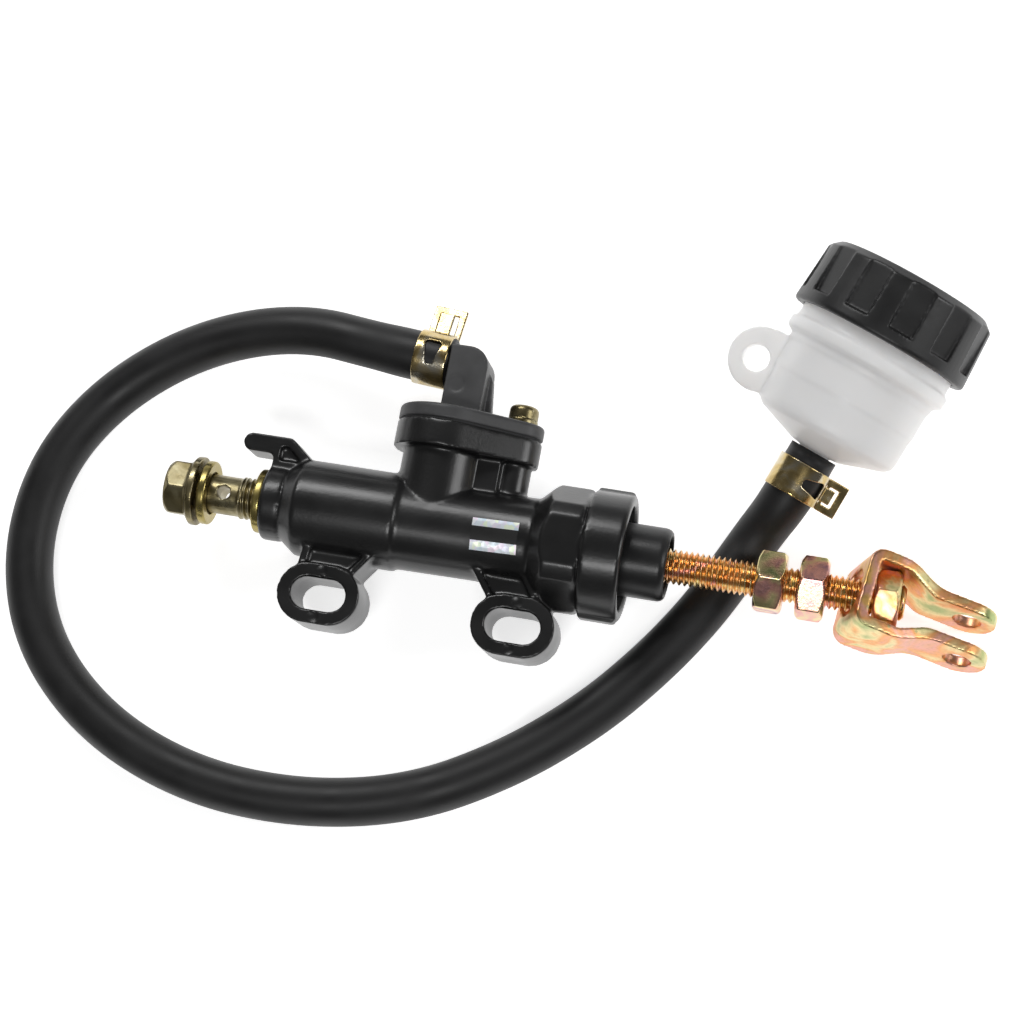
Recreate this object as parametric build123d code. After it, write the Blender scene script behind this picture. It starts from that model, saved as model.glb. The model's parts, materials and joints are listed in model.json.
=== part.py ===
"""Rear brake master cylinder with its remote reservoir, supply hose, pushrod and clevis.

The row frame has its origin at the centre of the two mounting slots, on the lugs' mounting face.
+X runs along the bore from the banjo bolt to the clevis, +Y towards the inlet elbow, and +Z is the
slots' axis.  Most pieces are drawn about the bore axis and moved by to_row when they are written.
"""
from build123d import *
import os
from math import cos, sin, tan, radians, pi

# ---- driving dimensions, in millimetres ----
BORE_Y = 20.0              # bore axis above the line of the mounting slots
LUG_THICKNESS = 14.0
BORE_Z = LUG_THICKNESS / 2

SLOT_SPACING = 45.0
SLOT_R = 3.65              # for M6 or M7 screws
SLOT_LENGTH = 12.7
LUG_WIDTH = 19.1
LUG_R = 6.85
WEB_HALF = 5.0             # half thickness of the web between its two ribs
RIB_HALF = 6.4
RIB_WIDTH = 1.9

BORE_R = 6.35              # half-inch bore
NOSE_X = -40.0
BORE_START_X = -24.0
STOP_X = 33.0              # shoulder that the stop washer rests on
RECESS_X = 40.0
RIM_X = 44.6
BODY_R = 11.2
WAIST_R = 10.5
COLLAR_R = 14.5
COLLAR_APOTHEM = 13.3
COUNTERBORE_R = 9.0
RECESS_R = 12.0

PORT_X = -1.0              # inlet turret's axis
SCREW_X = 15.3             # cover screw's axis
FLANGE_Y0 = 17.2
FLANGE_Y1 = 23.2
GASKET = 0.4
COVER_Y0 = FLANGE_Y1 + GASKET
COVER_Y1 = 26.9
FLANGE_BIG_R = 12.1
FLANGE_SMALL_R = 5.4

BANJO_THREAD_R = 4.85      # M10 x 1.25
WASHER_R = 7.4
WASHER_T = 2.0

ROD_R = 4.0                # M8 x 1.25
BALL_X = 28.0
BALL_R = 4.8
THREAD_START_X = 47.0
ROD_END_X = 107.0
NUT_AF = 13.0
NUT_T = 6.4

CLEVIS_X = 97.9            # rocking centre of the clevis on the rod
CLEVIS_ROLL = -11.6
CLEVIS_PITCH = 18.7
CLEVIS_YAW = -6.0
CLEVIS_T = 2.6
CLEVIS_PIVOT_U = 3.0       # rocking centre above the clevis's outer base face
CLEVIS_HALF = 9.45
EAR_HALF_GAP = 3.55
EAR_U = 27.0
EAR_R = 6.5
PIN_R = 3.2
CLEVIS_NUT_AF = 12.0
CLEVIS_NUT_X = CLEVIS_X + 2.1
CLEVIS_NUT_T = 5.8

ELBOW_X0 = -3.2
ELBOW_X1 = 6.0
ELBOW_TOP = 42.2
ELBOW_HALF = 6.0
SPIGOT_Y = 38.8
SPIGOT_RISE = 4.5          # degrees above the bore's direction
SPIGOT_LENGTH = 12.5
SCREW_WASHER_T = 1.1
SCREW_HEAD_R = 3.4
SCREW_HEAD_T = 3.2

HOSE_R = 5.6
HOSE_BORE_R = 3.5
CLAMP_T = 0.7
CLAMP_WIDTH = 7.8

RES_ORIGIN = (81.55, 29.9, 0.25)     # where the reservoir's spigot leaves its floor
RES_AZIMUTH = 68.3
RES_TILT = 9.6
CUP_R = 17.2
WALL = 1.6
NECK_R = 18.65
NECK_TOP = 40.0
RES_SPIGOT = 11.5
CAP_Z0 = 28.8
CAP_Z1 = 44.6

to_row = Pos(0, BORE_Y, BORE_Z)
written = []


def save(name, shape, place=None):
    """Write one node as a STEP file, moved into the row frame."""
    moved = (to_row if place is None else place) * shape
    export_step(moved, f"parts/{name}.step")
    written.append(name)


def rod_x(radius, x0, x1):
    """Solid round bar on the bore axis."""
    return Pos((x0 + x1) / 2, 0, 0) * Rot(0, 90, 0) * Cylinder(radius, x1 - x0)


def turned(points):
    """Solid turned about the bore axis from (x, radius) points."""
    return revolve(make_face(Polyline(*points, close=True)), Axis.X, 360)


def column_y(x, z, radius, y0, y1):
    """Solid round bar standing along +Y."""
    return Pos(x, (y0 + y1) / 2, z) * Rot(90, 0, 0) * Cylinder(radius, y1 - y0)


def column_z(x, y, radius, z0, z1):
    """Solid round bar standing along Z, its two ends given in either order."""
    return Pos(x, y, (z0 + z1) / 2) * Cylinder(radius, abs(z1 - z0))


def block(x0, x1, y0, y1, z0, z1):
    return Pos((x0 + x1) / 2, (y0 + y1) / 2, (z0 + z1) / 2) * Box(x1 - x0, y1 - y0, z1 - z0)


def hexagon_x(across_flats, x0, x1, spin, chamfer=0.9, both=True):
    """Hexagon bar on the bore axis; spin 0 puts a corner at +Z.  Its ends are turned to a chamfer."""
    flats = RegularPolygon(across_flats / 2, 6, major_radius=False, rotation=0)
    bar = Pos(x0, 0, 0) * Rot(spin, 0, 0) * Rot(0, 90, 0) * extrude(flats, x1 - x0)
    corner_r = across_flats / 2 / cos(radians(30)) + 0.01
    face_r = across_flats / 2 * 0.95
    near = [(x0, 0), (x0, face_r), (x0 + chamfer, corner_r)]
    far = [(x1 - chamfer, corner_r), (x1, face_r), (x1, 0)] if both else [(x1, corner_r), (x1, 0)]
    return bar & turned(near + far)


def flange_outline(y, grow=0.0):
    """Egg-shaped outline of the inlet flange: a big round end and a small one for the screw."""
    plane = Plane(origin=(0, y, 0), x_dir=(1, 0, 0), z_dir=(0, 1, 0))
    ends = Pos(PORT_X, 0) * Circle(FLANGE_BIG_R + grow)
    ends += Pos(SCREW_X, 0) * Circle(FLANGE_SMALL_R + grow)
    return plane * make_hull(ends.edges())


# ---- cylinder body ----

def body_outside():
    profile = [
        (NOSE_X, 0), (NOSE_X, 8.2), (NOSE_X + 0.5, 8.7), (-35.6, 8.7), (-35.6, 8.35), (-34.7, 8.35),
        (-34.7, 8.7), (-31.4, BODY_R), (-8.2, BODY_R), (-7.6, WAIST_R + 0.1), (9.0, WAIST_R - 0.1),
        (23.2, WAIST_R), (27.2, COLLAR_R - 0.1), (34.8, COLLAR_R - 0.1), (34.8, COLLAR_R - 0.9),
        (35.6, COLLAR_R - 0.9), (35.6, COLLAR_R), (RIM_X - 0.5, COLLAR_R), (RIM_X, COLLAR_R - 0.5),
        (RIM_X, 0),
    ]
    outside = turned(profile)
    flats = RegularPolygon(COLLAR_APOTHEM, 6, major_radius=False, rotation=30)
    keep = Pos(26.0, 0, 0) * Rot(0, 90, 0) * extrude(flats, 9.2)
    band = rod_x(COLLAR_R + 2, 26.0, 35.2) - keep
    outside -= band & rod_x(COLLAR_R + 2, 26.0, 34.8)
    for side in (-1, 1):
        bar = block(35.8, RIM_X - 0.6, 0, COLLAR_R + 0.6, -2.6, 2.6)
        bar = fillet(bar.edges().filter_by(Axis.X).group_by(Axis.Y)[-1], 0.8)
        outside += Rot(0 if side > 0 else 180, 0, 0) * bar
    return outside


def lug(x, web_left, web_right):
    """One slotted mounting lug and the web that carries it."""
    outline = Pos(x, -BORE_Y) * SlotOverall(LUG_WIDTH, 2 * LUG_R)
    half = LUG_THICKNESS / 2
    boss = Pos(0, 0, -half) * extrude(outline, LUG_THICKNESS)
    foot_y = -BORE_Y + LUG_R - 2.2
    foot_half = LUG_WIDTH / 2 - 3.2
    web_y = -6.0
    web_face = make_face(Polyline(
        (x - foot_half, foot_y), (web_left, web_y), (web_right, web_y), (x + foot_half, foot_y), close=True))
    boss += Pos(0, 0, -WEB_HALF) * extrude(web_face, 2 * WEB_HALF)
    for foot_x, web_x, inward in ((x - foot_half, web_left, 1), (x + foot_half, web_right, -1)):
        rib = make_face(Polyline(
            (foot_x, foot_y), (web_x, web_y), (web_x + inward * RIB_WIDTH, web_y),
            (foot_x + inward * RIB_WIDTH, foot_y), close=True))
        boss += Pos(0, 0, -RIB_HALF) * extrude(rib, 2 * RIB_HALF)
    slot = Pos(x, -BORE_Y) * SlotOverall(SLOT_LENGTH, 2 * SLOT_R)
    boss -= Pos(0, 0, -half - 1) * extrude(slot, LUG_THICKNESS + 2)
    for side in (-1, 1):
        boss -= column_z(x, -BORE_Y + side * (SLOT_R + LUG_R) / 2, 1.3, half - 0.3, half + 1)
    return boss


def locating_tab():
    """Hooked tab over the banjo bolt, which keeps the brake line's banjo from turning."""
    half = 4.6
    outline = Polyline(
        (-47.3, 10.7), (-47.3, 14.9), (-35.9, 14.9), (-29.4, 9.6), (-33.0, 4.0), (-39.6, 4.0),
        (-39.6, 10.7), close=True)
    face = make_face(outline)
    face = fillet([v for v in face.vertices() if v.X < -47], 2.0)
    face = fillet([v for v in face.vertices() if v.Y > 14.8 and v.X > -37], 2.0)
    face = fillet([v for v in face.vertices() if abs(v.X + 39.6) < 0.01 and v.Y > 10], 1.4)
    tab = Pos(0, 0, -half) * extrude(face, 2 * half)
    pocket = make_face(Polyline(
        (-38.2, 9.4), (-38.2, 12.6), (-36.3, 12.6), (-32.6, 9.4), close=True))
    tab -= Pos(0, 0, half - 1.2) * extrude(pocket, 2.0)
    return tab


def cylinder_body():
    body = body_outside()
    body += lug(-SLOT_SPACING / 2, -27.8, -9.4)
    body += lug(SLOT_SPACING / 2, 9.2, 22.6)
    body += locating_tab()
    body += column_y(PORT_X, 0, 9.6, 0, FLANGE_Y0 + 0.5)
    body += block(8.0, 13.0, 0, FLANGE_Y0 + 0.5, -4.6, 4.6)
    body += column_y(SCREW_X + 0.4, 0, 3.7, 0, FLANGE_Y0 + 0.5)
    body += extrude(flange_outline(FLANGE_Y0), FLANGE_Y1 - FLANGE_Y0)
    # port, passage, bore, counterbore and boot recess, one turned cut
    body -= turned([
        (NOSE_X - 1, 0), (NOSE_X - 1, 4.95), (-27.8, 4.95), (-26.2, 2.0), (BORE_START_X, 2.0),
        (BORE_START_X, BORE_R), (STOP_X, BORE_R), (STOP_X, COUNTERBORE_R), (34.9, COUNTERBORE_R),
        (34.9, 9.8), (36.4, 9.8), (36.4, COUNTERBORE_R), (RECESS_X, COUNTERBORE_R),
        (RECESS_X, RECESS_R), (RIM_X + 1, RECESS_R), (RIM_X + 1, 0)])
    # fluid well in the turret, with the feed port and the small compensating port
    body -= column_y(PORT_X, 0, 5.6, 12.0, FLANGE_Y1 + 1)
    body -= column_y(2.6, 0, 1.2, 5.0, 13.0)
    body -= column_y(-5.0, 0, 0.5, 5.0, 13.0)
    body -= column_y(SCREW_X, 0, 2.05, 12.0, FLANGE_Y1 + 1)
    return body


# ---- bore internals ----

def piston():
    solid = turned([
        (-8.0, 0), (-8.0, 2.6), (-4.0, 2.6), (-4.0, 6.2), (-2.6, 6.2), (-2.6, 4.0), (1.0, 4.0),
        (1.0, 6.3), (3.0, 6.3), (3.0, 4.2), (19.5, 4.2), (19.5, 6.3), (21.0, 6.3), (21.0, 4.4),
        (24.6, 4.4), (24.6, 6.3), (STOP_X - 0.1, 6.3), (STOP_X - 0.1, 0)])
    socket = Pos(BALL_X, 0, 0) * Sphere(BALL_R + 0.05)
    socket += turned([(BALL_X, 0), (BALL_X, BALL_R + 0.05), (STOP_X + 1, BALL_R + 0.05), (STOP_X + 1, 0)])
    return solid - socket


def lip_cup(x0, x1, inner_r):
    """Rubber cup seal: a ring with a forward lip."""
    return turned([
        (x0, inner_r + 0.9), (x0, BORE_R - 0.35), (x0 + 0.4, BORE_R - 0.05), (x1 - 0.4, BORE_R - 0.3),
        (x1, BORE_R - 0.5), (x1, inner_r), (x0 + 0.9, inner_r)])


def return_spring():
    x0 = BORE_START_X + 0.7
    x1 = -4.7
    wire_r = 0.6
    coil_r = 4.4
    turns = 6.5
    path = Helix(pitch=(x1 - x0) / turns, height=x1 - x0, radius=coil_r)
    start = path @ 0
    section = Plane(origin=start, z_dir=path % 0) * Circle(wire_r)
    coil = sweep(section, path=path, is_frenet=True)
    return Pos(x0, 0, 0) * Rot(0, 90, 0) * coil


def stop_washer():
    return rod_x(8.9, STOP_X, 34.6) - rod_x(5.4, STOP_X - 1, 36)


def circlip():
    ring = rod_x(9.7, 35.1, 36.2) - rod_x(7.9, 34, 37)
    ring -= block(34, 37, -12, -5, -2.2, 2.2)
    for side in (-1, 1):
        eye = Pos(35.65, -6.9, side * 3.7) * Rot(0, 90, 0) * Cylinder(1.5, 1.1)
        hole = Pos(35.65, -6.9, side * 3.7) * Rot(0, 90, 0) * Cylinder(0.6, 3)
        ring = ring + eye - hole
    return ring


def dust_boot():
    """Rubber sleeve that keeps dirt off the circlip; the pushrod passes through its open end."""
    return turned([
        (40.1, 6.8), (40.1, 11.9), (42.6, 11.9), (42.6, 9.0), (43.4, 8.35), (52.7, 8.35), (53.6, 7.95),
        (54.1, 7.3), (54.0, 6.8)])


def pushrod():
    ball = Pos(BALL_X, 0, 0) * Sphere(BALL_R)
    shaft = turned([
        (BALL_X, 0), (BALL_X, 3.2), (THREAD_START_X - 1, 3.2), (THREAD_START_X, ROD_R),
        (ROD_END_X - 1, ROD_R), (ROD_END_X, ROD_R - 0.9), (ROD_END_X, 0)])
    return ball + shaft


def lock_nut(x0, spin):
    nut = hexagon_x(NUT_AF, x0, x0 + NUT_T, spin)
    return nut - rod_x(ROD_R + 0.05, x0 - 1, x0 + NUT_T + 1)


# ---- clevis ----

clevis_place = Pos(CLEVIS_X, 0, 0) * Rot(CLEVIS_ROLL, CLEVIS_PITCH, CLEVIS_YAW) * Pos(-CLEVIS_PIVOT_U, 0, 0)


def clevis():
    """Bent strap clevis: a wide base with a loose hole for the rod, and two narrow pin ears."""
    t = CLEVIS_T
    ear_outer = EAR_HALF_GAP + t
    bend_start = 10.6
    bend_end = 17.6
    slope = (CLEVIS_HALF - ear_outer) / (bend_end - bend_start)
    back = t * slope / 2
    tip = EAR_U + EAR_R + 1

    def u_shape(u0, half_base, half_ear, shift, end):
        upper = [(u0, half_base), (bend_start - shift, half_base), (bend_end - shift, half_ear),
                 (end, half_ear)]
        lower = [(u, -v) for u, v in reversed(upper)]
        return make_face(Polyline(*(upper + lower), close=True))

    outer = u_shape(0, CLEVIS_HALF, ear_outer, 0, tip)
    outer = fillet([v for v in outer.vertices() if v.X < 1], 3.4)
    outer = fillet([v for v in outer.vertices() if bend_start - 1 < v.X < bend_end + 1], 12.0)
    inner = u_shape(t, CLEVIS_HALF - t, EAR_HALF_GAP, back, tip + 1)
    inner = fillet([v for v in inner.vertices() if v.X < t + 0.5], 1.0)
    inner = fillet([v for v in inner.vertices() if bend_start - 2 < v.X < bend_end + 1], 5.0)
    strap = Pos(0, 0, -10) * extrude(outer - inner, 20)

    base_half = 7.8
    outline = make_face(Polyline(
        (-1, base_half), (8.0, base_half), (15.5, 6.2), (EAR_U, EAR_R), (EAR_U, -EAR_R), (15.5, -6.2),
        (8.0, -base_half), (-1, -base_half), close=True))
    outline = fillet([v for v in outline.vertices() if 7 < v.X < 16], 24.0)
    outline += Pos(EAR_U, 0) * Circle(EAR_R)
    side_plane = Plane(origin=(0, -15, 0), x_dir=(1, 0, 0), z_dir=(0, 1, 0))
    strap &= extrude(side_plane * outline, 30)

    strap -= Pos(t / 2, 0, 0) * Rot(0, 90, 0) * Cylinder(5.6, 3 * t)
    strap -= column_y(EAR_U, 0, PIN_R, -15, 15)
    return strap


def clevis_nut():
    """Captive nut inside the clevis: two of its flats face the arms."""
    nut = hexagon_x(CLEVIS_NUT_AF, CLEVIS_NUT_X, CLEVIS_NUT_X + CLEVIS_NUT_T, -13.0)
    return nut - rod_x(ROD_R + 0.05, CLEVIS_NUT_X - 1, CLEVIS_NUT_X + CLEVIS_NUT_T + 1)


# ---- inlet cover with its hose elbow ----

elbow_exit = Pos(ELBOW_X0, SPIGOT_Y, 0) * Rot(0, 0, -SPIGOT_RISE) * Rot(0, -90, 0)


def inlet_elbow():
    cover = extrude(flange_outline(COVER_Y0), COVER_Y1 - COVER_Y0)
    top_edges = cover.faces().sort_by(Axis.Y)[-1].edges()
    cover = fillet(top_edges, 0.8)
    tower = block(ELBOW_X0, ELBOW_X1, COVER_Y1 - 1, ELBOW_TOP, -ELBOW_HALF, ELBOW_HALF)
    heel = tower.edges().filter_by(Axis.Z).group_by(Axis.X)[-1].sort_by(Axis.Y)[-1]
    tower = fillet([heel], 4.6)
    cover += tower
    rib = make_face(Polyline(
        (ELBOW_X1 - 1, COVER_Y1 - 1), (8.2, COVER_Y1 - 1), (7.0, 35.6), (6.4, 37.0), (ELBOW_X1 - 1, 37.0),
        close=True))
    cover += Pos(0, 0, -1.6) * extrude(rib, 3.2)
    for side in (-1, 1):
        cover -= column_z(-0.5, 33.0, 2.1, side * (ELBOW_HALF - 0.15), side * (ELBOW_HALF + 1))
    barb = elbow_exit * Cylinder(3.45, SPIGOT_LENGTH, align=(Align.CENTER, Align.CENTER, Align.MIN))
    for step in (4.5, 9.0):
        barb += elbow_exit * Pos(0, 0, step) * Cone(3.75, 3.45, 2.4)
    cover += barb
    bore = elbow_exit * Pos(0, 0, -4.4) * Cylinder(
        2.1, SPIGOT_LENGTH + 6, align=(Align.CENTER, Align.CENTER, Align.MIN))
    cover -= bore
    cover -= column_y(1.2, 0, 2.1, COVER_Y0 - 1, SPIGOT_Y)
    cover -= column_y(SCREW_X, 0, 2.4, COVER_Y0 - 1, COVER_Y1 + 1)
    return cover


def inlet_gasket():
    gasket = extrude(flange_outline(FLANGE_Y1, -0.5), GASKET)
    gasket -= column_y(PORT_X, 0, 5.6, FLANGE_Y1 - 1, COVER_Y0 + 1)
    gasket -= column_y(SCREW_X, 0, 2.6, FLANGE_Y1 - 1, COVER_Y0 + 1)
    return gasket


def cover_screw():
    seat = COVER_Y1 + SCREW_WASHER_T
    head = column_y(SCREW_X, 0, SCREW_HEAD_R, seat, seat + SCREW_HEAD_T)
    head = fillet(head.edges().group_by(Axis.Y)[-1], 1.2)
    slot = block(SCREW_X - 2.0, SCREW_X + 2.0, seat + 1.4, seat + 5, -0.45, 0.45)
    slot += block(SCREW_X - 0.45, SCREW_X + 0.45, seat + 1.4, seat + 5, -2.0, 2.0)
    return head - slot + column_y(SCREW_X, 0, 2.0, 13.5, seat + 0.1)


def cover_screw_washer():
    ring = column_y(SCREW_X, 0, 3.5, COVER_Y1, COVER_Y1 + SCREW_WASHER_T)
    ring -= column_y(SCREW_X, 0, 2.1, COVER_Y1 - 1, COVER_Y1 + 3)
    ring -= block(SCREW_X + 1.5, SCREW_X + 4, COVER_Y1 - 1, COVER_Y1 + 3, 1.2, 1.6)
    return ring


# ---- banjo bolt ----

def banjo_bolt():
    head = hexagon_x(12.0, -63.6, -58.0, 6.0, chamfer=1.6, both=False)
    flange = turned([(-58.2, 0), (-58.2, 7.0), (-57.4, 8.0), (-56.0, 8.0), (-56.0, 0)])
    shank = turned([
        (-56.1, 0), (-56.1, 4.5), (-46.2, 4.5), (-45.8, BANJO_THREAD_R), (-30.2, BANJO_THREAD_R),
        (-29.2, 4.0), (-29.2, 0)])
    bolt = head + flange + shank
    bolt -= column_z(-49.6, 0, 1.6, -8, 8)
    bolt -= rod_x(1.6, -49.6, -28)
    return bolt


def sealing_washer(x0):
    ring = turned([
        (x0, BANJO_THREAD_R + 0.1), (x0, WASHER_R - 0.3), (x0 + 0.3, WASHER_R), (x0 + WASHER_T - 0.3, WASHER_R),
        (x0 + WASHER_T, WASHER_R - 0.3), (x0 + WASHER_T, BANJO_THREAD_R + 0.1)])
    return ring


# ---- reservoir ----

tilt_plane = Plane(
    origin=RES_ORIGIN,
    x_dir=(-sin(radians(RES_AZIMUTH)), cos(radians(RES_AZIMUTH)), 0),
    z_dir=(cos(radians(RES_AZIMUTH)) * cos(radians(RES_TILT)),
           sin(radians(RES_AZIMUTH)) * cos(radians(RES_TILT)), sin(radians(RES_TILT))))
res_place = to_row * tilt_plane.location     # local x to the ear, local z along the axis to the cap


def spun(points):
    """Solid turned about local z from (radius, height) points."""
    return revolve(make_face(Plane.XZ * Polyline(*points, close=True)), Axis.Z, 360)


def reservoir():
    return spun([
        (2.2, -RES_SPIGOT), (3.3, -RES_SPIGOT), (3.7, -RES_SPIGOT + 1.2), (3.45, -RES_SPIGOT + 4), (3.45, 1.1),
        (5.9, 1.3), (15.6, 4.6), (16.9, 5.8), (CUP_R, 7.4), (CUP_R, 13.4), (CUP_R + 0.3, 13.8),
        (CUP_R + 0.3, 20.2), (CUP_R + 0.7, 20.6), (CUP_R + 0.7, 22.0), (19.7, 23.0), (19.7, 25.4),
        (NECK_R, 26.0), (NECK_R, NECK_TOP), (17.0, NECK_TOP), (17.0, 23.2), (CUP_R - WALL, 20.0),
        (CUP_R - WALL, 7.6), (14.8, 6.4), (4.0, 3.2), (2.2, 2.4)])


def reservoir_ear():
    """Mounting ear moulded on the cup's side; its inner face follows the cup's wall."""
    outline = Pos(21.0, 13.0) * Circle(7.4) + Pos(16.0, 13.4) * Rectangle(10, 14.6)
    ear = Rot(90, 0, 0) * extrude(outline, 2.2, both=True)
    ear -= reservoir() + Cylinder(CUP_R - 0.2, 50)
    ear -= Pos(21.9, 0, 12.8) * Rot(90, 0, 0) * Cylinder(3.1, 12)
    return ear


def reservoir_cap():
    cap = spun([
        (18.75, CAP_Z0), (20.9, CAP_Z0), (21.3, CAP_Z0 + 0.6), (20.5, CAP_Z1 - 1.8), (18.4, CAP_Z1),
        (0, CAP_Z1), (0, CAP_Z1 - 1.8), (17.4, CAP_Z1 - 1.8), (18.75, CAP_Z1 - 3.0)])
    flutes = 12
    for i in range(flutes):
        angle = 360 / flutes * (i + 0.5)
        cut = Box(6.0, 5.8, CAP_Z1 - CAP_Z0, align=(Align.CENTER, Align.CENTER, Align.MIN))
        cut = Pos(23.0, 0, CAP_Z0 + 3.0) * cut
        cap -= Rot(0, 0, angle) * cut
    return cap


def diaphragm():
    """Rubber bellows under the cap: a sealing lip on the neck and a shallow cup."""
    return spun([
        (18.5, NECK_TOP + 0.1), (18.5, NECK_TOP + 1.3), (15.4, NECK_TOP + 1.3), (15.4, 34.8), (3.0, 33.8),
        (0, 33.8), (0, 32.8), (3.2, 32.8), (16.4, 33.8), (16.4, NECK_TOP + 0.1)])


def diaphragm_plate():
    return spun([(3.0, NECK_TOP + 1.4), (17.0, NECK_TOP + 1.4), (17.0, NECK_TOP + 2.6), (3.0, NECK_TOP + 2.6)])


# ---- hose and its spring clamps ----

HOSE_LOW = -9.95        # height of the hose's middle where it lies on the surface

# Places the hose passes, in the bore's frame, from the elbow round to the reservoir.
HOSE_ROUTE = [
    (-41, 43, -2),
    (-65, 36.5, -6),
    (-85.5, 22, HOSE_LOW),
    (-97, 2.5, HOSE_LOW),
    (-98.5, -20, HOSE_LOW),
    (-90.5, -40.5, HOSE_LOW),
    (-72.5, -56.5, HOSE_LOW),
    (-48, -65.5, HOSE_LOW),
    (-21.5, -66.5, HOSE_LOW),
    (4, -61, HOSE_LOW),
    (25, -49, HOSE_LOW),
    (41.5, -35, HOSE_LOW),
    (53, -21.5, HOSE_LOW),
    (61.5, -9, HOSE_LOW),
    (67, 1.5, HOSE_LOW),
    (71, 9.5, -8),
]


def hose_points():
    exit_dir = (-cos(radians(SPIGOT_RISE)), sin(radians(SPIGOT_RISE)))
    start = Vector(ELBOW_X0 + 0.2 * exit_dir[0], SPIGOT_Y + 0.2 * exit_dir[1], 0)
    after_elbow = start + Vector(16 * exit_dir[0], 16 * exit_dir[1], 0)
    before_spigot = Vector(*RES_ORIGIN) - tilt_plane.z_dir * 11.0
    end = Vector(*RES_ORIGIN) + tilt_plane.z_dir * 0.8
    return [start, after_elbow] + [Vector(*p) for p in HOSE_ROUTE] + [before_spigot, end]


def hose_path():
    """Straight runs joined by tangent arcs, each as large as its two runs allow."""
    points = hose_points()
    radii = []
    for before, corner, after in zip(points, points[1:], points[2:]):
        run_in = corner - before
        run_out = after - corner
        turn = run_in.get_angle(run_out)
        shorter = min(run_in.length, run_out.length)
        radii.append(0.45 * shorter / tan(radians(turn) / 2))
    print("hose arc radii:", [round(r, 1) for r in radii])
    return FilletPolyline(*points, radius=radii)


def hose():
    path = hose_path()
    section = Plane(origin=path @ 0, z_dir=path % 0) * (Circle(HOSE_R) - Circle(HOSE_BORE_R))
    tube = sweep(section, path=path)
    area = pi * (HOSE_R ** 2 - HOSE_BORE_R ** 2)
    print(f"hose length {path.length:.1f}, volume {tube.volume:.0f}, section x length {area * path.length:.0f}")
    return tube


def hose_clamp(place, tab_angle, window_angle, frame_reach, tongue_reach):
    """Spring band clamp: a band with a tapered window, and a frame tab and tongue that stand out from it."""
    inner_r = HOSE_R + 0.1
    outer_r = inner_r + CLAMP_T
    band = Cylinder(outer_r, CLAMP_WIDTH) - Cylinder(inner_r, CLAMP_WIDTH + 2)
    pane = make_face(Plane.YZ * Polyline((-2.9, -0.9), (2.7, -2.1), (2.7, 2.1), (-2.9, 0.9), close=True))
    band -= Rot(0, 0, window_angle) * extrude(fillet(pane.vertices(), 0.7), outer_r + 2, dir=(1, 0, 0))
    frame_root = outer_r - 0.6
    frame_length = frame_reach - frame_root
    frame = Pos(frame_root + frame_length / 2, 1.5, 0) * Box(frame_length, CLAMP_T, CLAMP_WIDTH)
    opening_start = outer_r + 1.1
    opening_length = frame_reach - 1.7 - opening_start
    frame -= Pos(opening_start + opening_length / 2, 1.5, 0) * Box(opening_length, 2, CLAMP_WIDTH - 3.4)
    tongue_length = tongue_reach - frame_root
    tongue = Pos(frame_root + tongue_length / 2, -1.0, 0) * Box(tongue_length, CLAMP_T, 3.4)
    clamp = band + (frame + tongue - Cylinder(inner_r + 0.1, CLAMP_WIDTH + 2))
    return place * Rot(0, 0, tab_angle) * clamp


def clamp_places():
    elbow_side = elbow_exit * Pos(0, 0, 4.5)
    reservoir_side = tilt_plane.location * Pos(0, 0, -6.3)
    return elbow_side, reservoir_side


# ---- write every node ----

def build():
    os.makedirs("parts", exist_ok=True)
    save("cylinder_body", cylinder_body())
    save("piston", piston())
    save("primary_cup", lip_cup(-2.5, 0.9, 4.05))
    save("secondary_cup", lip_cup(21.1, 24.5, 4.45))
    save("return_spring", return_spring())
    save("stop_washer", stop_washer())
    save("circlip", circlip())
    save("dust_boot", dust_boot())
    save("pushrod", pushrod())
    save("lock_nut_inner", lock_nut(73.8, 0.5))
    save("lock_nut_outer", lock_nut(83.2, 52.0))
    save("clevis_nut", clevis_nut())
    save("clevis", clevis_place * clevis())
    save("inlet_elbow", inlet_elbow())
    save("inlet_gasket", inlet_gasket())
    save("cover_screw", cover_screw())
    save("cover_screw_washer", cover_screw_washer())
    save("banjo_bolt", banjo_bolt())
    save("banjo_washer_outer", sealing_washer(-55.2))
    save("banjo_washer_inner", sealing_washer(NOSE_X - WASHER_T))
    save("reservoir", reservoir(), res_place)
    save("reservoir_ear", reservoir_ear(), res_place)
    save("reservoir_cap", reservoir_cap(), res_place)
    save("diaphragm", diaphragm(), res_place)
    save("diaphragm_plate", diaphragm_plate(), res_place)
    save("hose", hose())
    elbow_side, reservoir_side = clamp_places()
    save("hose_clamp_elbow", hose_clamp(elbow_side, 102, -98, 14.2, 11.6))
    save("hose_clamp_reservoir", hose_clamp(reservoir_side, 198, -62, 11.6, 8.6))
    print(len(written), "nodes")


build()
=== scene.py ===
"""Looks for the brake master cylinder: softened castings, cut threads, the hose and every material.

Everything is in metres in the row frame: +X along the bore to the clevis, +Y to the inlet elbow.
"""
import json
from math import cos, pi, radians, sin

import bmesh
import bpy
from mathutils import Matrix, Vector


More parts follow.
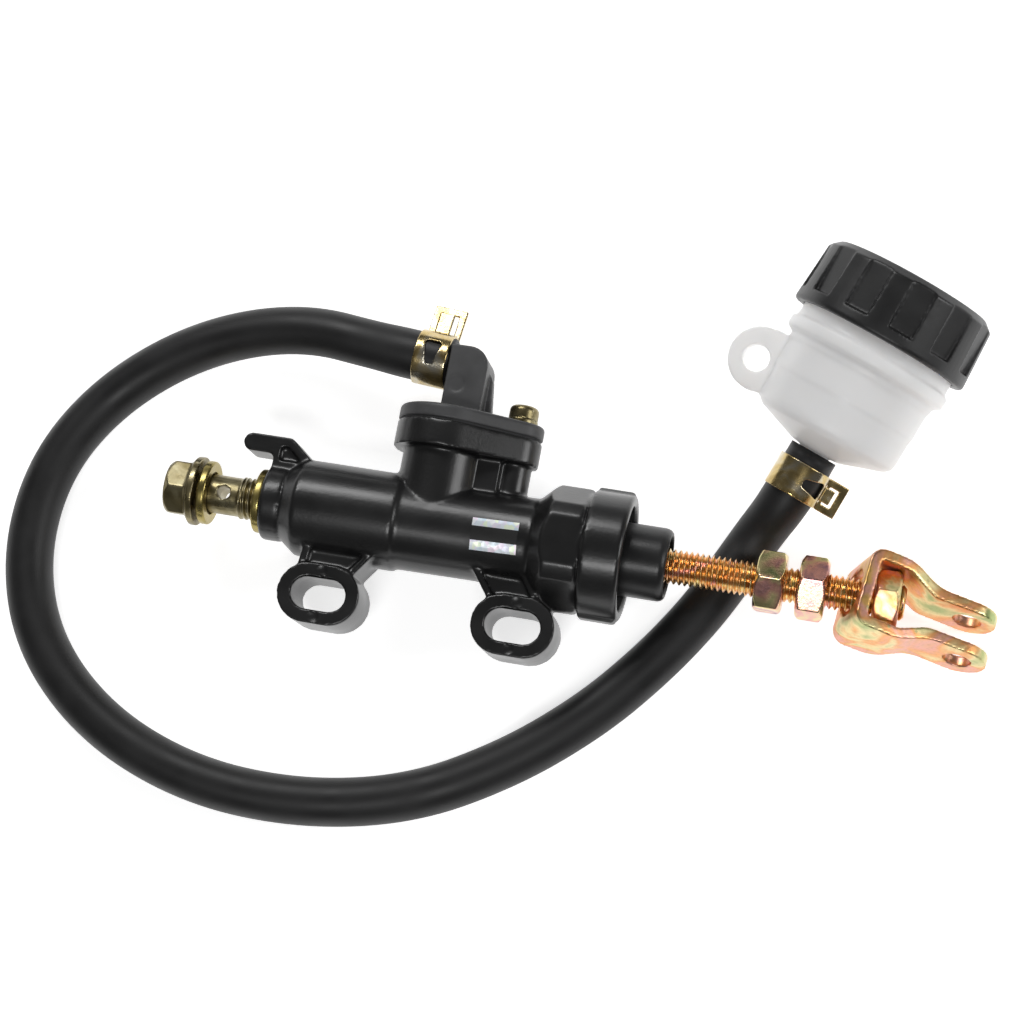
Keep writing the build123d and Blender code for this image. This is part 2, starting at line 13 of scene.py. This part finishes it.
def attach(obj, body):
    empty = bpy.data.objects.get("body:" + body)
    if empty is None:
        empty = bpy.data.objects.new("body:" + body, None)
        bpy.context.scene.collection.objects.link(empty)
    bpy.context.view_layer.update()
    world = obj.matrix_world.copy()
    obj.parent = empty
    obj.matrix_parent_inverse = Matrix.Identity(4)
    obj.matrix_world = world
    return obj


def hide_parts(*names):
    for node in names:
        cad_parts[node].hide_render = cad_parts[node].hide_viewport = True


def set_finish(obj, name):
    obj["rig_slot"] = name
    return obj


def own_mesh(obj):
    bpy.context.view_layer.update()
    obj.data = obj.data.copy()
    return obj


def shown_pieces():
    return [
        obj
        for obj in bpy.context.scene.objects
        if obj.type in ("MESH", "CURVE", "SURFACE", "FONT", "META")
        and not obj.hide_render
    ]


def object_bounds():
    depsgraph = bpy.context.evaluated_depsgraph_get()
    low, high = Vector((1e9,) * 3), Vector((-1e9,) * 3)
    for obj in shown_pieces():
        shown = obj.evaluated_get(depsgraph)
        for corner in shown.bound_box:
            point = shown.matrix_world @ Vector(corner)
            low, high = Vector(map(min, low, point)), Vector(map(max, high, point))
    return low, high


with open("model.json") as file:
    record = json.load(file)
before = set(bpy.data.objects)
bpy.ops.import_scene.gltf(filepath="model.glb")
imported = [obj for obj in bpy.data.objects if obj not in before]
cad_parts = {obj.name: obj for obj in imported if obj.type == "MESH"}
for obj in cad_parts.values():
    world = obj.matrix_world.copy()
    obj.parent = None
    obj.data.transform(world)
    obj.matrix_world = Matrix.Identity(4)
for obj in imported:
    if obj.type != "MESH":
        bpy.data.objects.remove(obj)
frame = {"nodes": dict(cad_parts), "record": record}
cad_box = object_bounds()
NODES = frame["nodes"]
BODY_OF = {node: body for body, nodes in frame["record"]["behaviour"]["bodies"].items() for node in nodes}
SLOT_OF = {part["node"]: part["material_slot"] for part in frame["record"]["subparts"]}

BORE = Vector((0, 0.020, 0.007))        # a point on the bore axis
ROUND_SIDES = 48                        # sides of everything turned or swept

PITCH = 0.00125                         # of both threads
GROOVE_DEPTH = 0.61 * PITCH
THREAD_STEPS = 8                        # rings to one pitch
CREST_LEVEL = 1.16                      # with GROOVE_SLOPE, how wide the crest and the root are
GROOVE_SLOPE = 2.6

ROD_R = 0.0040
ROD_THREAD = (0.0470, 0.1070)           # where the thread starts and ends along the bore
ROD_CHAMFER = 0.0008
BALL_X = 0.0280
BALL_R = 0.0048
BALL_RINGS = 16
BALL_DIVISIONS = 20                     # of half a turn
SHANK_R = 0.0032
SHANK_SPAN = (0.0320, 0.0456)
SHANK_SHOULDER = (0.0462, 0.0003)       # where it is, and how much it stands out

BOLT_R = 0.0049
BOLT_THREAD = (-0.0458, -0.0302)
BOLT_NECK_R = 0.0044
BOLT_NECK_LENGTH = 0.0004

HOSE_R = 0.0056
BARB_LENGTH = 0.020                     # length of hose that is pushed over each spigot
BARB_SWELL = 0.00022

LABEL_R = 0.01062                       # just proud of the barrel
LABEL_SIZE = (0.0106, 0.0074)
LABEL_CENTRE = (0.0154, -0.0012)
LABEL_TURN = 2                          # degrees
LABEL_GRID = (24, 16)                   # faces along the bore and around it
LABEL_BAND = (0.3125, 0.75)             # share of its height where the dark band starts and ends

FLOOR_HALF = 6.0
FLOOR_GLOW = 0.72

CAMERA_PLACE = (0.10606, -0.06432, 0.53787)
CAMERA_RIGHT = Vector((0.97402, 0.18106, -0.13599))
CAMERA_UP = Vector((-0.15292, 0.96887, 0.19468))
CAMERA_BACK = Vector((0.16701, -0.16883, 0.97139))
CAMERA_LENS = 85.54                     # millimetres, on a sensor 36 mm wide

# The hose's route about the bore axis, from the elbow to the reservoir.
# It lies lower under the rod than the part's own route does, so that it clears the rod as it swivels.
HOSE_ROUTE = [
    (-0.0034, 0.03882, 0.0),
    (-0.01935, 0.04007, 0.0),
    (-0.041, 0.043, -0.002),
    (-0.065, 0.0365, -0.006),
    (-0.0855, 0.022, -0.00995),
    (-0.097, 0.0025, -0.00995),
    (-0.0985, -0.02, -0.00995),
    (-0.0905, -0.0405, -0.00995),
    (-0.0725, -0.0565, -0.00995),
    (-0.048, -0.0655, -0.00995),
    (-0.0215, -0.0665, -0.00995),
    (0.004, -0.061, -0.00995),
    (0.025, -0.049, -0.00995),
    (0.0415, -0.035, -0.00995),
    (0.053, -0.0215, -0.00995),
    (0.0615, -0.009, -0.00995),
    (0.067, 0.0015, -0.00995),
    (0.072, 0.0118, -0.0092),
    (0.07754, 0.01982, -0.00158),
    (0.08184, 0.03063, 0.00038),
]


# ---- material helpers ----

class Paint:
    """A Principled material under construction, with the few nodes that every finish here uses."""

    def __init__(self, name, roughness, metallic=0.0):
        self.material = bpy.data.materials.new(name)
        self.material.use_nodes = True
        self.nodes = self.material.node_tree.nodes
        self.links = self.material.node_tree.links
        self.shader = self.nodes["Principled BSDF"]
        self.shader.inputs["Roughness"].default_value = roughness
        self.shader.inputs["Metallic"].default_value = metallic
        self.coords = self.nodes.new("ShaderNodeTexCoord").outputs["Object"]

    def set(self, **values):
        for name, value in values.items():
            self.shader.inputs[name.replace("_", " ")].default_value = value
        return self

    def noise(self, scale, detail=3.0, distortion=0.0, stretch=(1, 1, 1)):
        mapping = self.nodes.new("ShaderNodeMapping")
        mapping.inputs["Scale"].default_value = stretch
        self.links.new(self.coords, mapping.inputs["Vector"])
        noise = self.nodes.new("ShaderNodeTexNoise")
        noise.inputs["Scale"].default_value = scale
        noise.inputs["Detail"].default_value = detail
        noise.inputs["Distortion"].default_value = distortion
        self.links.new(mapping.outputs["Vector"], noise.inputs["Vector"])
        return noise.outputs["Fac"]

    def ramp(self, factor, stops):
        ramp = self.nodes.new("ShaderNodeValToRGB")
        elements = ramp.color_ramp.elements
        while len(elements) < len(stops):
            elements.new(0.5)
        for element, (position, color) in zip(elements, stops):
            element.position = position
            element.color = (*color, 1)
        self.links.new(factor, ramp.inputs["Fac"])
        return ramp.outputs["Color"]

    def edges(self, low, high):
        """1 on sharp edges and 0 on flats, from the mesh's own pointiness."""
        spread = self.nodes.new("ShaderNodeMapRange")
        spread.inputs["From Min"].default_value = low
        spread.inputs["From Max"].default_value = high
        geometry = self.nodes.new("ShaderNodeNewGeometry")
        self.links.new(geometry.outputs["Pointiness"], spread.inputs["Value"])
        return spread.outputs["Result"]

    def mix(self, factor, a, b):
        mix = self.nodes.new("ShaderNodeMix")
        mix.data_type = "RGBA"
        self.links.new(factor, mix.inputs["Factor"])
        for socket, value in ((mix.inputs["A"], a), (mix.inputs["B"], b)):
            if isinstance(value, tuple):
                socket.default_value = (*value, 1)
            else:
                self.links.new(value, socket)
        return mix.outputs["Result"]

    def color(self, output):
        self.links.new(output, self.shader.inputs["Base Color"])
        return self

    def roughness(self, factor, low, high):
        spread = self.nodes.new("ShaderNodeMapRange")
        spread.inputs["From Min"].default_value = 0.3
        spread.inputs["From Max"].default_value = 0.7
        spread.inputs["To Min"].default_value = low
        spread.inputs["To Max"].default_value = high
        self.links.new(factor, spread.inputs["Value"])
        self.links.new(spread.outputs["Result"], self.shader.inputs["Roughness"])
        return self

    def bump(self, height, strength, distance):
        bump = self.nodes.new("ShaderNodeBump")
        bump.inputs["Strength"].default_value = strength
        bump.inputs["Distance"].default_value = distance
        self.links.new(height, bump.inputs["Height"])
        self.links.new(bump.outputs["Normal"], self.shader.inputs["Normal"])
        return self


def grey(value):
    return (value, value, value * 1.03)


def black_coat():
    """Satin black paint over cast aluminium, with a fine orange peel."""
    paint = Paint("body_black", 0.3).set(Coat_Weight=0.25, Coat_Roughness=0.2)
    broad = paint.noise(70, 4)
    paint.color(paint.ramp(broad, [(0.3, grey(0.006)), (0.75, grey(0.011))]))
    paint.roughness(broad, 0.27, 0.40)
    return paint.bump(paint.noise(1400, 3), 0.22, 0.00012).material


def black_plastic(name, low, high, tone):
    paint = Paint(name, 0.35)
    broad = paint.noise(110, 4)
    paint.color(paint.ramp(broad, [(0.3, grey(tone)), (0.75, grey(tone * 1.7))]))
    paint.roughness(broad, low, high)
    return paint.bump(paint.noise(1600, 2), 0.12, 0.0001).material


def black_rubber(name, tone, low, high):
    paint = Paint(name, 0.5).set(Specular_IOR_Level=0.42)
    broad = paint.noise(90, 5)
    paint.color(paint.ramp(broad, [(0.35, grey(tone)), (0.7, grey(tone * 1.6))]))
    paint.roughness(broad, low, high)
    return paint.bump(paint.noise(2200, 3), 0.2, 0.0001).material


def zinc(name, stops, scale, low=0.2, high=0.38, edge=None, speckle=0.0):
    """Passivated zinc plating: colours drift over the surface, with fine pits and brighter worn edges."""
    paint = Paint(name, 0.3, 1.0)
    drift = paint.noise(scale, 3, 1.2)
    color = paint.ramp(drift, stops)
    if speckle:
        spots = paint.ramp(paint.noise(1300, 2), [(0.52, (0, 0, 0)), (0.62, (speckle, speckle, speckle))])
        color = paint.mix(spots, color, (0.16, 0.13, 0.05))
    if edge:
        color = paint.mix(paint.edges(0.53, 0.60), color, edge)
    paint.color(color)
    paint.roughness(paint.noise(260, 4), low, high)
    return paint.bump(paint.noise(1500, 4), 0.25, 0.0001).material


def milky_plastic():
    """Translucent white polyethylene, a little cloudy, with a faint painted glow that stands in for light."""
    paint = Paint("reservoir_white", 0.34).set(
        Transmission_Weight=0.12, IOR=1.4, Subsurface_Weight=0.8, Subsurface_Scale=0.006,
        Subsurface_Radius=(1.0, 0.95, 0.9))
    # painted glow: a faint white emission brightens the cup as if lit, though it is no lamp
    paint.set(Emission_Color=(1.0, 0.985, 0.975, 1), Emission_Strength=0.07)
    cloud = paint.noise(45, 4)
    paint.color(paint.ramp(cloud, [(0.3, (0.90, 0.885, 0.875)), (0.7, (0.96, 0.95, 0.94))]))
    paint.roughness(cloud, 0.28, 0.40)
    return paint.bump(paint.noise(700, 3), 0.08, 0.0001).material


def foil():
    """Bright foil that breaks into small squares of shifting tint."""
    paint = Paint("label_foil", 0.3, 0.25)
    cells = paint.nodes.new("ShaderNodeTexVoronoi")
    cells.inputs["Scale"].default_value = 900
    paint.links.new(paint.coords, cells.inputs["Vector"])
    hue = paint.nodes.new("ShaderNodeSeparateColor")
    paint.links.new(cells.outputs["Color"], hue.inputs["Color"])
    paint.color(paint.ramp(hue.outputs["Red"], [(0.1, (0.85, 0.87, 0.9)), (0.5, (0.6, 0.75, 0.85)),
                                                (0.75, (0.85, 0.72, 0.85)), (0.95, (0.8, 0.9, 0.7))]))
    return paint.bump(cells.outputs["Distance"], 0.3, 0.0001).material


def plain_metal(name, tone, low, high):
    paint = Paint(name, 0.3, 1.0)
    broad = paint.noise(300, 4)
    dark = tuple(channel * 0.8 for channel in tone)
    paint.color(paint.ramp(broad, [(0.3, dark), (0.7, tone)]))
    paint.roughness(broad, low, high)
    return paint.bump(paint.noise(1800, 3), 0.15, 0.0001).material


GOLD = (0.72, 0.43, 0.14)
PALE_GOLD = (0.80, 0.66, 0.34)
ROSE = (0.78, 0.40, 0.32)
VIOLET = (0.27, 0.15, 0.21)
GREEN = (0.40, 0.47, 0.20)
ORANGE = (0.80, 0.38, 0.14)
OLIVE = (0.17, 0.14, 0.065)
STEEL = (0.62, 0.58, 0.48)


def make_materials():
    return {
        "body_black": black_coat(),
        "elbow_black": black_plastic("elbow_black", 0.40, 0.54, 0.045),
        "gasket_rubber": black_rubber("gasket_rubber", 0.02, 0.5, 0.65),
        "hose_rubber": black_rubber("hose_rubber", 0.009, 0.42, 0.56),
        "boot_rubber": black_rubber("boot_rubber", 0.012, 0.30, 0.44),
        "seal_rubber": black_rubber("seal_rubber", 0.02, 0.45, 0.6),
        "piston_alloy": plain_metal("piston_alloy", (0.72, 0.66, 0.5), 0.2, 0.32),
        "spring_steel": plain_metal("spring_steel", (0.6, 0.6, 0.6), 0.2, 0.35),
        "plain_steel": plain_metal("plain_steel", (0.5, 0.5, 0.5), 0.25, 0.4),
        "rod_gold": zinc("rod_gold", [(0.36, ROSE), (0.46, GOLD), (0.54, ORANGE), (0.64, PALE_GOLD)], 140,
                         0.2, 0.34),
        "nut_rainbow": zinc("nut_rainbow", [(0.32, GREEN), (0.43, PALE_GOLD), (0.54, ROSE), (0.68, VIOLET)],
                            110, 0.18, 0.3, PALE_GOLD),
        "clevis_gold": zinc("clevis_gold", [(0.34, GREEN), (0.42, PALE_GOLD), (0.49, ORANGE), (0.56, ROSE),
                                            (0.64, GOLD)], 60, 0.3, 0.42, (0.50, 0.42, 0.20), 0.12),
        "bolt_olive": zinc("bolt_olive", [(0.3, OLIVE), (0.5, (0.26, 0.22, 0.12)), (0.7, (0.38, 0.34, 0.21))],
                           160, 0.24, 0.42, (0.48, 0.43, 0.28)),
        "seal_washer": plain_metal("seal_washer", (0.42, 0.34, 0.12), 0.22, 0.36),
        "clamp_gold": zinc("clamp_gold", [(0.3, (0.36, 0.25, 0.09)), (0.5, (0.56, 0.43, 0.20)), (0.7, STEEL)],
                           150, 0.14, 0.28),
        "reservoir_white": milky_plastic(),
        "cap_black": black_plastic("cap_black", 0.34, 0.48, 0.010),
        "plate_plastic": plain_metal("plate_plastic", (0.6, 0.6, 0.58), 0.4, 0.5),
    }


# ---- mesh helpers ----

def shade_smooth(mesh):
    mesh.polygons.foreach_set("use_smooth", [True] * len(mesh.polygons))


def new_piece(name, mesh, node, *others):
    """A piece that stands for a CAD node, or several of one body, and moves with that body."""
    shade_smooth(mesh)
    piece = bpy.data.objects.new(name, mesh)
    bpy.context.scene.collection.objects.link(piece)
    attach(piece, BODY_OF[node])
    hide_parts(node, *others)
    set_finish(piece, SLOT_OF[node])
    return piece


def evaluated_mesh(piece):
    graph = bpy.context.evaluated_depsgraph_get()
    return bpy.data.meshes.new_from_object(piece.evaluated_get(graph))


def softened(nodes, voxel, passes):
    """The nodes' own solids as one, remeshed and smoothed, so that corners are as round as a casting's."""
    joined = bmesh.new()
    for node in nodes:
        joined.from_mesh(NODES[node].data)
    source = bpy.data.objects.new("source", finished(joined, "source"))
    bpy.context.scene.collection.objects.link(source)
    remesh = source.modifiers.new("remesh", "REMESH")
    remesh.mode = "VOXEL"
    remesh.voxel_size = voxel
    smooth = source.modifiers.new("smooth", "SMOOTH")
    smooth.factor = 0.5
    smooth.iterations = passes
    mesh = evaluated_mesh(source)
    bpy.data.objects.remove(source)
    return mesh


def thread_rows(radius, span):
    """Rings of points with a helical groove of the thread's pitch, its ends run out smoothly."""
    start, end = span
    count = int((end - start) / PITCH * THREAD_STEPS)
    rows = []
    for i in range(count + 1):
        x = start + (end - start) * i / count
        run_out = min(1.0, (x - start) / PITCH, (end - x) / PITCH)
        row = []
        for j in range(ROUND_SIDES):
            turn = j / ROUND_SIDES
            phase = (x / PITCH - turn) % 1.0
            groove = min(1.0, max(0.0, CREST_LEVEL - abs(phase - 0.5) * GROOVE_SLOPE)) * run_out
            r = radius - GROOVE_DEPTH * groove
            row.append(BORE + Vector((x, r * cos(2 * pi * turn), r * sin(2 * pi * turn))))
        rows.append(row)
    return rows


def ring_angles():
    return [2 * pi * j / ROUND_SIDES for j in range(ROUND_SIDES)]


def ring_row(x, radius):
    return [BORE + Vector((x, radius * cos(a), radius * sin(a))) for a in ring_angles()]


def lathe_rows(mesh, rows):
    """Add a closed skin through the rows of points, with a fan at each end."""
    levels = [[mesh.verts.new(point) for point in row] for row in rows]
    sides = len(levels[0])
    for low, high in zip(levels, levels[1:]):
        for j in range(sides):
            k = (j + 1) % sides
            mesh.faces.new((low[j], low[k], high[k], high[j]))
    mesh.faces.new(list(reversed(levels[0])))
    mesh.faces.new(levels[-1])


def finished(mesh, name):
    bmesh.ops.recalc_face_normals(mesh, faces=mesh.faces)
    data = bpy.data.meshes.new(name)
    mesh.to_mesh(data)
    mesh.free()
    return data


# ---- pieces ----

SOFT = {                     # node: voxel size in metres, smoothing passes
    "cylinder_body": (0.00040, 5),
    "inlet_elbow": (0.00030, 4),
    "dust_boot": (0.00035, 4),
    "reservoir_cap": (0.00030, 2),
    "clevis": (0.00030, 3),
    "lock_nut_inner": (0.00022, 2),
    "lock_nut_outer": (0.00022, 2),
    "clevis_nut": (0.00025, 2),
    "cover_screw": (0.00020, 2),
    "cover_screw_washer": (0.00016, 2),
    "banjo_washer_outer": (0.00022, 2),
    "banjo_washer_inner": (0.00022, 2),
    "hose_clamp_elbow": (0.00018, 2),
    "hose_clamp_reservoir": (0.00018, 2),
}
RESERVOIR_SOFT = (0.0004, 4)
BANJO_BOLT_SOFT = (0.00022, 2)


def soft_pieces():
    for node, (voxel, passes) in SOFT.items():
        new_piece(node + "_soft", softened([node], voxel, passes), node)
    cup = softened(["reservoir", "reservoir_ear"], *RESERVOIR_SOFT)
    new_piece("reservoir_soft", cup, "reservoir", "reservoir_ear")


def return_spring():
    """The spring's own solid, copied into a piece of its own."""
    coil = new_piece("return_spring_coil", NODES["return_spring"].data.copy(), "return_spring")
    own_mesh(coil)


def pushrod():
    """Ball end, shank and a cut thread along the rest of the rod."""
    mesh = bmesh.new()
    rows = []
    for i in range(1, BALL_RINGS + 1):
        angle = pi * i / BALL_DIVISIONS
        if BALL_R * sin(angle) < SHANK_R and angle > pi / 2:
            break
        rows.append(ring_row(BALL_X - BALL_R * cos(angle), BALL_R * sin(angle)))
    shoulder_x, shoulder_out = SHANK_SHOULDER
    rows += [ring_row(x, SHANK_R) for x in SHANK_SPAN]
    rows.append(ring_row(shoulder_x, SHANK_R + shoulder_out))
    rows += thread_rows(ROD_R, (ROD_THREAD[0], ROD_THREAD[1] - ROD_CHAMFER))
    rows.append(ring_row(ROD_THREAD[1], ROD_R - ROD_CHAMFER))
    lathe_rows(mesh, rows)
    new_piece("pushrod_threaded", finished(mesh, "pushrod_threaded"), "pushrod")


def banjo_bolt():
    """The bolt's head and drilled shank from its own solid, with a cut thread on its end."""
    source = softened(["banjo_bolt"], *BANJO_BOLT_SOFT)
    mesh = bmesh.new()
    mesh.from_mesh(source)
    tail = [v for v in mesh.verts if v.co.x > BOLT_THREAD[0]]
    bmesh.ops.delete(mesh, geom=tail, context="VERTS")
    open_edges = [e for e in mesh.edges if e.is_boundary]
    bmesh.ops.holes_fill(mesh, edges=open_edges)
    rows = [ring_row(BOLT_THREAD[0] - BOLT_NECK_LENGTH, BOLT_NECK_R)]
    rows += thread_rows(BOLT_R, BOLT_THREAD)
    lathe_rows(mesh, rows)
    new_piece("banjo_bolt_threaded", finished(mesh, "banjo_bolt_threaded"), "banjo_bolt")


def hose_line():
    """The hose's centre line, as a smooth NURBS spline through its route."""
    curve = bpy.data.curves.new("hose_line", "CURVE")
    curve.dimensions = "3D"
    spline = curve.splines.new("NURBS")
    spline.points.add(len(HOSE_ROUTE) - 1)
    for point, place in zip(spline.points, HOSE_ROUTE):
        point.co = (*(BORE + Vector(place)), 1)
    spline.order_u = 3
    spline.use_endpoint_u = True
    spline.resolution_u = 10
    line = bpy.data.objects.new("hose_line", curve)
    bpy.context.scene.collection.objects.link(line)
    points = [v.co.copy() for v in evaluated_mesh(line).vertices]
    bpy.data.objects.remove(line)
    return points


def hose_radius(from_elbow, from_reservoir):
    """The hose swells a little where it is pushed over the two spigots' barbs."""
    swell = 0.0
    for distance in (from_elbow, from_reservoir):
        if distance < BARB_LENGTH:
            swell = max(swell, sin(pi * min(1.0, distance / BARB_LENGTH)) ** 2)
    return HOSE_R + BARB_SWELL * swell


def hose():
    """A tube along the route, a little wider where it sits over the spigots."""
    points = hose_line()
    steps = [0.0]
    for a, b in zip(points, points[1:]):
        steps.append(steps[-1] + (b - a).length)
    mesh = bmesh.new()
    rows = []
    side = Vector((0, 0, 1))
    for i, point in enumerate(points):
        along = (points[min(i + 1, len(points) - 1)] - points[max(i - 1, 0)]).normalized()
        side = (side - along * side.dot(along)).normalized()
        up = along.cross(side)
        radius = hose_radius(steps[i], steps[-1] - steps[i])
        rows.append([point + side * radius * cos(a) + up * radius * sin(a) for a in ring_angles()])
    lathe_rows(mesh, rows)
    piece = new_piece("hose_tube", finished(mesh, "hose_tube"), "hose")


def label():
    """A plain foil sticker with a blank dark band, curved round the barrel."""
    turned = radians(LABEL_TURN)
    mesh = bmesh.new()
    columns, rows = LABEL_GRID
    band_start, band_end = LABEL_BAND
    grid = []
    for i in range(columns + 1):
        line = []
        for j in range(rows + 1):
            along = (i / columns - 0.5) * LABEL_SIZE[0]
            across = (j / rows - 0.5) * LABEL_SIZE[1]
            x = LABEL_CENTRE[0] + along * cos(turned) - across * sin(turned)
            around = (LABEL_CENTRE[1] + along * sin(turned) + across * cos(turned)) / LABEL_R
            line.append(mesh.verts.new(BORE + Vector((x, LABEL_R * sin(around), LABEL_R * cos(around)))))
        grid.append(line)
    for i in range(columns):
        for j in range(rows):
            face = mesh.faces.new((grid[i][j], grid[i + 1][j], grid[i + 1][j + 1], grid[i][j + 1]))
            face.material_index = int(rows * band_start <= j < rows * band_end)
    piece = bpy.data.objects.new("blank_label", finished(mesh, "blank_label"))
    piece.data.materials.append(foil())
    piece.data.materials.append(black_plastic("label_band", 0.45, 0.6, 0.002))
    bpy.context.scene.collection.objects.link(piece)
    shade_smooth(piece.data)
    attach(piece, BODY_OF["cylinder_body"])


def paint_all(materials):
    for node, piece in NODES.items():
        piece.data.materials.clear()
        piece.data.materials.append(materials[SLOT_OF[node]])
    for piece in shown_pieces():
        if piece.get("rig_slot"):
            piece.data.materials.clear()
            piece.data.materials.append(materials[piece["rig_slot"]])


# ---- stage ----

def floor():
    mesh = bpy.data.meshes.new("floor")
    z = cad_box[0][2]
    half = FLOOR_HALF
    corners = [(-half, -half, z), (half, -half, z), (half, half, z), (-half, half, z)]
    mesh.from_pydata(corners, [], [(0, 1, 2, 3)])
    plane = bpy.data.objects.new("floor", mesh)
    bpy.context.scene.collection.objects.link(plane)
    paint = Paint("floor_white", 0.7).set(Base_Color=(0.9, 0.9, 0.9, 1), Specular_IOR_Level=0.1)
    paint.set(Emission_Color=(1, 1, 1, 1), Emission_Strength=FLOOR_GLOW)
    mesh.materials.append(paint.material)


def softbox(name, place, target, width, height, power):
    light = bpy.data.lights.new(name, "AREA")
    light.shape = "RECTANGLE"
    light.size = width
    light.size_y = height
    light.energy = power
    lamp = bpy.data.objects.new(name, light)
    lamp.location = place
    lamp.rotation_euler = (Vector(target) - Vector(place)).to_track_quat("-Z", "Y").to_euler()
    bpy.context.scene.collection.objects.link(lamp)


def lights():
    """Dark overhead with three soft lights, so that black paint stays black with long soft highlights."""
    world = bpy.data.worlds.new("studio")
    world.use_nodes = True
    background = world.node_tree.nodes["Background"]
    background.inputs["Color"].default_value = (1, 1, 1, 1)
    background.inputs["Strength"].default_value = 0.10
    bpy.context.scene.world = world
    softbox("front", (0.05, -0.42, 0.85), (0.02, 0.01, 0), 0.34, 0.16, 2.2)
    softbox("back", (-0.30, 0.62, 0.62), (0, 0.02, 0), 0.50, 0.22, 3.2)
    softbox("right", (0.75, 0.15, 0.50), (0.08, 0.02, 0), 0.30, 0.40, 2.2)


def camera():
    lens = bpy.data.cameras.new("camera")
    lens.lens = CAMERA_LENS
    lens.sensor_width = 36
    lens.clip_start = 0.01
    view = bpy.data.objects.new("camera", lens)
    turn = Matrix((CAMERA_RIGHT, CAMERA_UP, CAMERA_BACK)).transposed().to_4x4()
    view.matrix_world = Matrix.Translation(CAMERA_PLACE) @ turn
    bpy.context.scene.collection.objects.link(view)
    bpy.context.scene.camera = view


soft_pieces()
pushrod()
banjo_bolt()
hose()
return_spring()
paint_all(make_materials())
label()
floor()
lights()
camera()
bpy.context.scene.view_settings.view_transform = "Standard"
